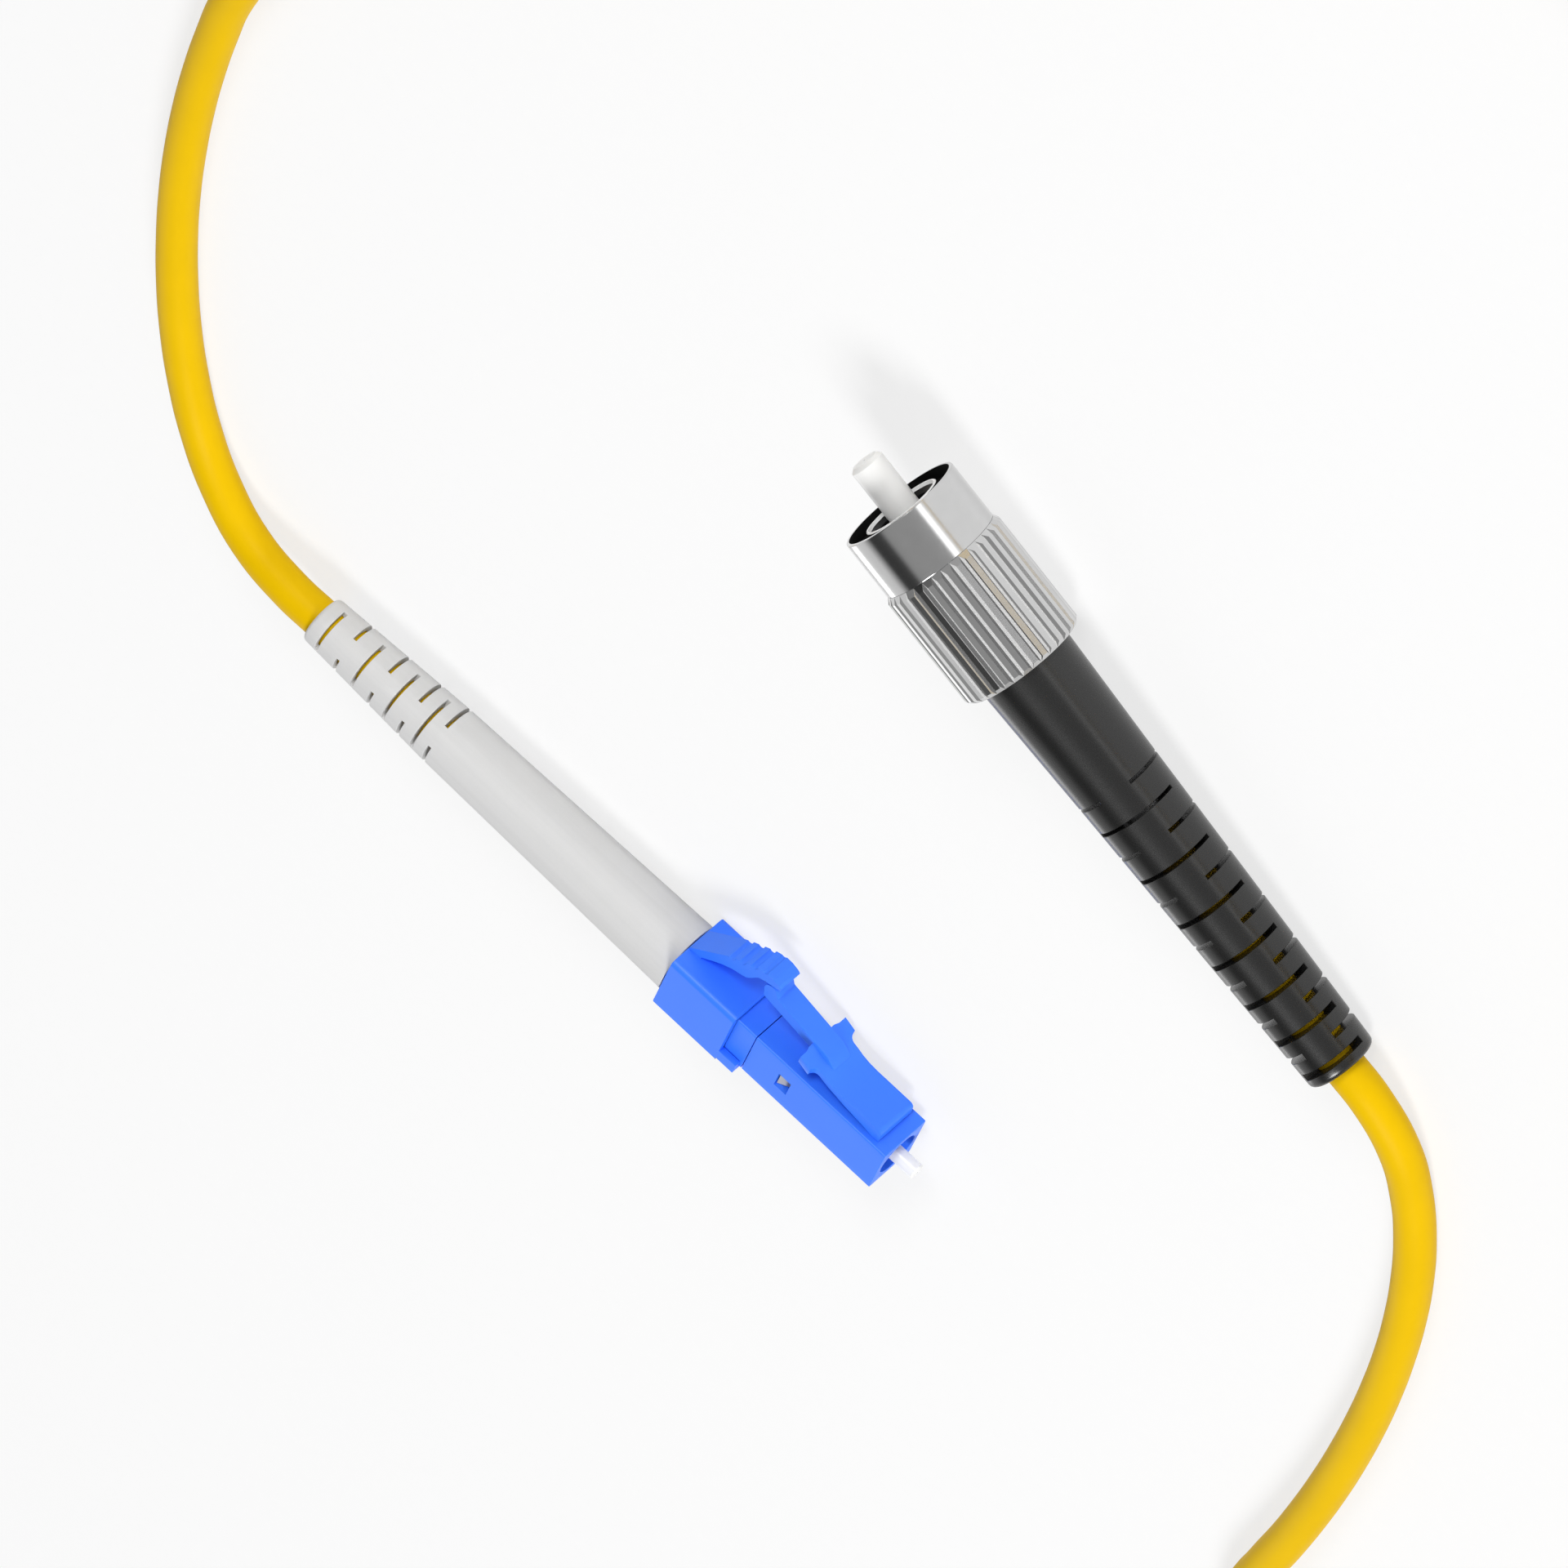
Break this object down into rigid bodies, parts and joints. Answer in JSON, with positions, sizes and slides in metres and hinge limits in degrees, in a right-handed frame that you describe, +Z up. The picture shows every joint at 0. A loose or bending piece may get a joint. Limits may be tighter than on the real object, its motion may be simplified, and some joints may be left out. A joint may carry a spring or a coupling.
{
  "type": "fiber optic patch cord",
  "caption": "Jacketed fiber cord with a latched small plug and long boot at one end, and a screw-on round plug with a knurled nut at the other.",
  "frame": {"origin": "on the surface that the cord lies on, under the middle of the box round the two plugs", "axes": "+Z up from that surface; +X from the FC plug's side towards the LC plug's boot; the LC plug heads 130 degrees from +X and the FC plug 72 degrees clockwise from +X"},
  "size_m": [0.1699, 0.1617, 0.01],
  "materials": {
    "ceramic": "polished white zirconia",
    "glass_fiber": "clear silica",
    "nickel": "bright nickel plating",
    "nickel_dark": "plain turned metal",
    "spring_steel": "drawn wire",
    "blue_plastic": "satin moulded blue",
    "grey_boot": "soft light grey elastomer",
    "black_boot": "soft black elastomer",
    "yellow_jacket": "satin yellow PVC",
    "white_buffer": "satin white",
    "aramid": "fine straight yarn"
  },
  "bodies": {
    "cord_and_housings": {"lc_spring": "spring_steel", "lc_front_housing": "blue_plastic", "lc_rear_housing": "blue_plastic", "lc_crimp_body": "nickel_dark", "lc_shell": "blue_plastic", "lc_crimp_sleeve": "nickel_dark", "lc_aramid_yarn": "aramid", "lc_buffer": "white_buffer", "lc_jacket_end": "yellow_jacket", "lc_boot": "grey_boot", "fc_spring": "spring_steel", "fc_barrel": "nickel", "fc_retaining_ring": "nickel_dark", "fc_backbone": "nickel_dark", "fc_crimp_sleeve": "nickel_dark", "fc_aramid_yarn": "aramid", "fc_buffer": "white_buffer", "fc_jacket_end": "yellow_jacket", "fc_boot": "black_boot", "cord_lc_side": "yellow_jacket", "cord_coil": "yellow_jacket", "cord_fc_side": "yellow_jacket"},
    "lc_ferrule_body": {"lc_ferrule": "ceramic", "lc_fiber": "glass_fiber", "lc_ferrule_flange": "nickel_dark"},
    "lc_latch_body": {"lc_latch": "blue_plastic"},
    "lc_trigger_body": {"lc_trigger": "blue_plastic"},
    "fc_nut_body": {"fc_coupling_nut": "nickel"},
    "fc_ferrule_body": {"fc_ferrule": "ceramic", "fc_fiber": "glass_fiber", "fc_ferrule_flange": "nickel_dark"}
  },
  "joints": [
    {"name": "lc_ferrule_slide", "type": "slide", "parent": "cord_and_housings", "child": "lc_ferrule_body", "axis": [0.6428, -0.766, 0], "range_m": [0, 0.001], "stiffness_N_per_m": 200, "deforming": ["lc_spring"]},
    {"name": "lc_latch_bend", "type": "hinge", "parent": "cord_and_housings", "child": "lc_latch_body", "pos_m": [0.00775, 0.02704, 0.00285], "axis": [0, 0, 1], "range_deg": [0, 7.5], "stiffness_Nm_per_rad": 0.005},
    {"name": "lc_trigger_press", "type": "hinge", "parent": "cord_and_housings", "child": "lc_trigger_body", "pos_m": [0.019, 0.01307, 0.00285], "axis": [0, 0, -1], "range_deg": [0, 12.5], "stiffness_Nm_per_rad": 0.005},
    {"name": "fc_nut_turn", "type": "hinge", "parent": "cord_and_housings", "child": "fc_nut_body", "pos_m": [-0.03055, -0.0225, 0.00519], "axis": [0.3085, -0.9494, 0.0587], "continuous": true},
    {"name": "fc_ferrule_slide", "type": "slide", "parent": "cord_and_housings", "child": "fc_ferrule_body", "axis": [-0.3085, 0.9494, -0.0587], "range_m": [0, 0.0015], "stiffness_N_per_m": 500, "deforming": ["fc_spring"]}
  ],
  "couplings": [
    {"joint": "lc_latch_bend", "follows": "lc_trigger_press", "ratio": 0.6}
  ]
}
